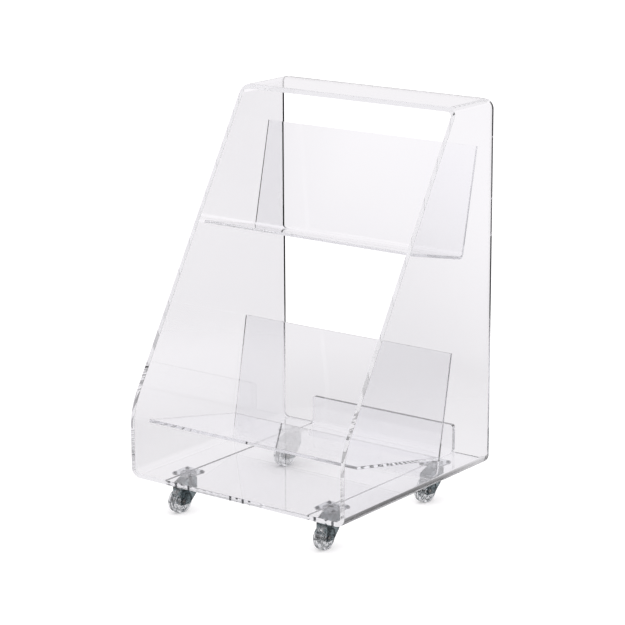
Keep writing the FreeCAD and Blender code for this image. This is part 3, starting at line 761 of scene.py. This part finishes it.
def grownMesh(name, tree, values, place):
    # Run a geometry tree once and keep its result as a plain mesh, moved to its place
    holder = bpy.data.objects.new(name, bpy.data.meshes.new(name + "Empty"))
    bpy.context.scene.collection.objects.link(holder)
    grow = holder.modifiers.new("grow", "NODES")
    grow.node_group = tree
    for item in tree.interface.items_tree:
        if item.in_out == "INPUT" and item.name in values:
            grow[item.identifier] = values[item.name]
    mesh = bpy.data.meshes.new_from_object(holder.evaluated_get(bpy.context.evaluated_depsgraph_get()))
    mesh.name = name
    mesh.transform(place)
    bpy.data.objects.remove(holder)
    piece = bpy.data.objects.new(name, mesh)
    bpy.context.scene.collection.objects.link(piece)
    return piece


wheelSize = {"radius": 21, "half": 8, "tread": 3, "treadStep": 9, "bore": 4.03, "hub": 7, "dish": 16,
             "draft": 0.25, "floor": 3.9, "spoke": 6.9, "spokes": 6, "spokeWide": 2.0, "spokeBlend": 0.03,
             "stepsBetween": 14, "edge": 0.45, "rim": 18.2, "smooth": 24}


def makeWheelMesh(name, place):
    # One moulding: hub, dished web with straight spokes on both sides, and a rounded tread. Axis along X.
    size = wheelSize
    half, edge, draft = size["half"], size["edge"], size["draft"]

    def section(web):
        # from the bore round to the bore again, as (radius, across)
        side = [(size["bore"], half - edge), (size["bore"] + edge, half), (size["hub"] - edge, half),
                (size["hub"], half - edge), (size["hub"] + draft, web + edge),
                (size["hub"] + edge + draft, web),
                (size["dish"] - edge - draft, web), (size["dish"] - draft, web + edge),
                (size["dish"], half - edge), (size["dish"] + edge, half), (size["rim"] - edge, half),
                (size["rim"], half)]
        centre = (size["radius"] - size["tread"], half - size["tread"])
        side += [(centre[0] + size["tread"] * math.sin(math.radians(a)),
                  centre[1] + size["tread"] * math.cos(math.radians(a)))
                 for a in range(size["treadStep"], 91, size["treadStep"])]
        side += [(size["radius"], centre[1] * share) for share in (0.5, 0.0)]
        return side + [(radius, -across) for radius, across in reversed(side[:-1])]

    webbed = section(size["floor"])
    spoked = section(size["spoke"])
    angles = []
    for spoke in range(size["spokes"]):
        centre = 2 * math.pi * spoke / size["spokes"]
        nextCentre = 2 * math.pi * (spoke + 1) / size["spokes"]
        width = size["spokeWide"] / (size["hub"] + size["dish"])
        angles += [(centre - width, 1), (centre - width / 3, 1), (centre + width / 3, 1), (centre + width, 1)]
        start, end = centre + width + size["spokeBlend"], nextCentre - width - size["spokeBlend"]
        angles += [(start + (end - start) * i / size["stepsBetween"], 0)
                   for i in range(size["stepsBetween"] + 1)]
    bm = bmesh.new()
    rings = []
    for angle, isSpoke in angles:
        outline = spoked if isSpoke else webbed
        rings.append([bm.verts.new((x * mm, r * math.cos(angle) * mm, r * math.sin(angle) * mm))
                      for r, x in outline])
    for index, ring in enumerate(rings):
        following = rings[(index + 1) % len(rings)]
        for i in range(len(ring)):
            j = (i + 1) % len(ring)
            bm.faces.new((ring[i], ring[j], following[j], following[i]))
    bmesh.ops.recalc_face_normals(bm, faces=bm.faces)
    mesh = bpy.data.meshes.new(name)
    bm.to_mesh(mesh)
    bm.free()
    smoothByAngle(mesh, size["smooth"])
    mesh.transform(place)
    return mesh


axleSize = {"radius": 2.5, "half": 12.3, "dome": 0.8, "domeAngles": (0, 20, 40, 58, 74), "sides": 32}
washerSize = {"bore": 2.53, "radius": 4.4, "near": 11.02, "far": 11.98, "edge": 0.2, "farDrop": 0.3,
              "farEdge": 0.4, "sides": 40}
bushSize = {"bore": 2.56, "radius": 4.0, "half": 8.28, "edge": 0.25, "sides": 32}
turnedSize = {"merge": 0.001, "smooth": 35}


def turnedMesh(name, profile, segments, place):
    # A turned piece about X from a profile of (radius, distance along the axle)
    bm = bmesh.new()
    lathe(bm, profile, segments)
    bmesh.ops.remove_doubles(bm, verts=bm.verts, dist=turnedSize["merge"] * mm)
    bmesh.ops.recalc_face_normals(bm, faces=bm.faces)
    mesh = bpy.data.meshes.new(name)
    bm.to_mesh(mesh)
    bm.free()
    smoothByAngle(mesh, turnedSize["smooth"])
    mesh.transform(place @ Matrix.Rotation(math.radians(90), 4, "Y"))
    return mesh


def axleProfile():
    size = axleSize
    half, dome = size["half"], size["dome"]
    end = [(size["radius"] * math.cos(math.radians(a)), half - dome + dome * math.sin(math.radians(a)))
           for a in size["domeAngles"]] + [(0, half)]
    return [(radius, -along) for radius, along in reversed(end)] + end


def washerProfile(side):
    size = washerSize
    bore, radius, near, far, edge = size["bore"], size["radius"], size["near"], size["far"], size["edge"]
    loop = [(bore, near), (radius - edge, near), (radius, near + edge), (radius, far - size["farDrop"]),
            (radius - size["farEdge"], far), (bore + edge, far), (bore, far - edge), (bore, near)]
    return [(across, side * along) for across, along in loop]


def bushProfile():
    half, outer, inner, edge = bushSize["half"], bushSize["radius"], bushSize["bore"], bushSize["edge"]
    return [(inner, -half), (outer - edge, -half), (outer, -half + edge), (outer, half - edge),
            (outer - edge, half), (inner, half), (inner, -half)]


def joinMeshes(name, meshes):
    bm = bmesh.new()
    for mesh in meshes:
        bm.from_mesh(mesh)
    joined = bpy.data.meshes.new(name)
    bm.to_mesh(joined)
    bm.free()
    return joined


def hubPlace(caster):
    # X along the axle, origin at the wheel's centre
    roll = joints["wheel_" + caster + "_roll"]
    axis = Vector(roll["axis"]).normalized()
    up = Vector((0, 0, 1))
    across = up.cross(axis)
    turn = Matrix((axis, across, up)).transposed()
    return Matrix.Translation(Vector(roll["pos_m"])) @ turn.to_4x4()


def swivelPlace(caster):
    # the swivel line on the surface that the wheels stand on
    pos = Vector(joints["swivel_" + caster + "_turn"]["pos_m"])
    return Matrix.Translation(Vector((pos.x, pos.y, 0)))


screw = screwSource()
screws = screwTree()
balls = ballTree()
for number, caster in enumerate(casterNames):
    hub = hubPlace(caster)
    swivel = swivelPlace(caster)
    turning = "swivel_" + caster
    rolling = "roller_" + caster
    finished(softenedCopy("casterPlate_" + caster, "caster_plate_" + caster, clearPlate, 0.4, air=0.08),
             "caster_plate_" + caster, "rack")
    finished(softenedCopy("casterHood_" + caster, "hood_" + caster, smokyHood, 0.55),
             "hood_" + caster, turning)
    finished(softenedCopy("casterKingpin_" + caster, "kingpin_" + caster, nickelPin, 0.3),
             "kingpin_" + caster, "rack")
    finished(softenedCopy("casterBearingCup_" + caster, "bearing_cup_" + caster, zincCup, 0.25),
             "bearing_cup_" + caster, "rack")
    finished(grownMesh("casterScrews_" + caster, screws,
                       {"Screw": screw, "Spread": screwSize["spread"] * mm, "Seed": screwSize["seed"] + number,
                        "Finish": zincScrew}, swivel), "plate_screws_" + caster, "rack")
    finished(grownMesh("casterBalls_" + caster, balls,
                       {"Circle": ballSize["circle"] * mm, "Count": ballSize["count"],
                        "Ball": ballSize["radius"] * mm, "Finish": polishedBall},
                       swivel @ Matrix.Translation((0, 0, ballSize["height"] * mm))),
             "bearing_balls_" + caster, "rack")
    wheel = pieceFromMesh("casterWheel_" + caster, makeWheelMesh("casterWheel_" + caster, hub), clearWheel)
    finished(wheel, "wheel_" + caster, rolling)
    axle = turnedMesh("casterAxle_" + caster, axleProfile(), axleSize["sides"], hub)
    finished(pieceFromMesh("casterAxle_" + caster, axle, nickelPin), "axle_" + caster, turning)
    washers = joinMeshes("casterWashers_" + caster,
                         [turnedMesh("washer", washerProfile(side), washerSize["sides"], hub)
                          for side in (-1, 1)])
    finished(pieceFromMesh("casterWashers_" + caster, washers, zincScrew), "axle_washers_" + caster, turning)
    bush = turnedMesh("casterBush_" + caster, bushProfile(), bushSize["sides"], hub)
    finished(pieceFromMesh("casterBush_" + caster, bush, turnedBush), "wheel_bush_" + caster, rolling)
    print("caster ready:", caster)
bpy.data.objects.remove(screw)
